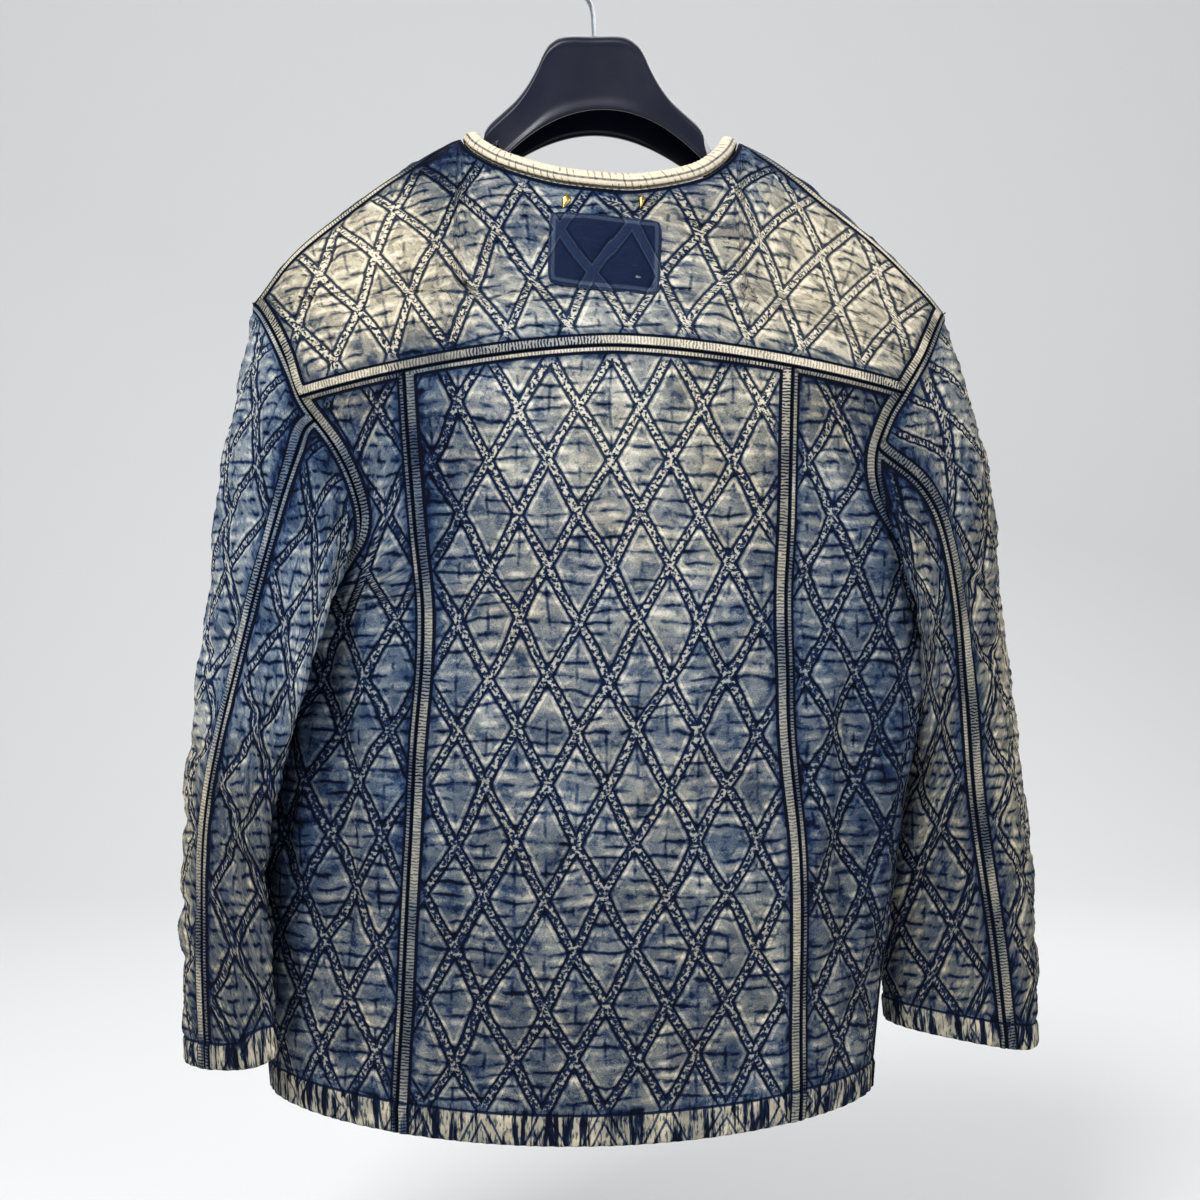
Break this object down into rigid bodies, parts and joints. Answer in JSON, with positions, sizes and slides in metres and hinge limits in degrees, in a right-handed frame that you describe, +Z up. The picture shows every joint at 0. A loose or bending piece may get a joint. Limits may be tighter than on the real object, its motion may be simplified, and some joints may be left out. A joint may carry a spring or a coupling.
{
  "type": "patched boro jacket on a coat hanger",
  "caption": "Collarless quilted denim jacket with arched yoke, two-piece sleeves and a small sewn patch, hanging open on a broad moulded coat hanger.",
  "frame": {"origin": "inside top of the hanger's hook, where it bears on a rail", "axes": "+Z up, +Y the way the wearer faces, +X to the wearer's right; the back of the jacket faces -Y"},
  "size_m": [0.6382, 0.1903, 0.874],
  "materials": {
    "denim": "washed quilted cotton",
    "binding": "faded rolled cotton",
    "patch": "dark indigo cotton",
    "tack": "polished",
    "hanger": "satin black",
    "hook": "bright wire"
  },
  "bodies": {
    "root": {"back_yoke": "denim", "back_centre": "denim", "back_side_left": "denim", "back_side_right": "denim", "front_left": "denim", "front_right": "denim", "sleeve_outer_left": "denim", "sleeve_inner_left": "denim", "sleeve_outer_right": "denim", "sleeve_inner_right": "denim", "neck_binding": "binding", "patch": "patch", "tack_left": "tack", "tack_right": "tack", "hanger_body": "hanger", "hanger_hook": "hook"}
  },
  "joints": []
}
